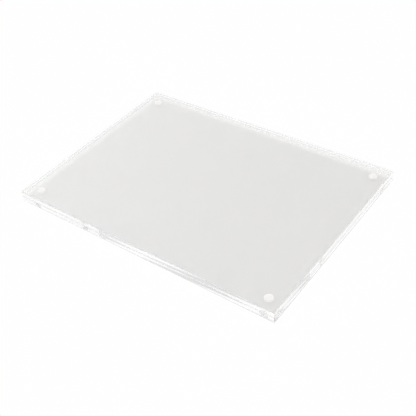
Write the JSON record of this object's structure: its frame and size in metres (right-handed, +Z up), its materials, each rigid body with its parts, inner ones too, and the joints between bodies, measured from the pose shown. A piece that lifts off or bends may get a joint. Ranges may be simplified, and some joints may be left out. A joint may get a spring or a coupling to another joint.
{
  "type": "magnetic photo frame",
  "caption": "Frameless clear acrylic photo frame: a front plate lifts off a matching back plate, and disc magnets in the corners hold a print between them.",
  "frame": {"origin": "on the table, under the middle of the frame, at the centre of the back plate's outer face", "axes": "+X along the long side, +Y along the short side, +Z up through the front plate, the way it lifts off"},
  "size_m": [0.1778, 0.127, 0.0062],
  "materials": {
    "clear_acrylic": "clear cast acrylic, polished faces and edges",
    "nickel_plating": "satin nickel plating"
  },
  "bodies": {
    "back": {"back_plate": "clear_acrylic", "back_magnet_top_left": "nickel_plating", "back_magnet_top_right": "nickel_plating", "back_magnet_bottom_left": "nickel_plating", "back_magnet_bottom_right": "nickel_plating"},
    "front": {"front_plate": "clear_acrylic", "front_magnet_top_left": "nickel_plating", "front_magnet_top_right": "nickel_plating", "front_magnet_bottom_left": "nickel_plating", "front_magnet_bottom_right": "nickel_plating"}
  },
  "joints": [
    {"name": "front_lift", "type": "slide", "parent": "back", "child": "front", "axis": [0, 0, 1], "range_m": [0, 0.06]}
  ]
}
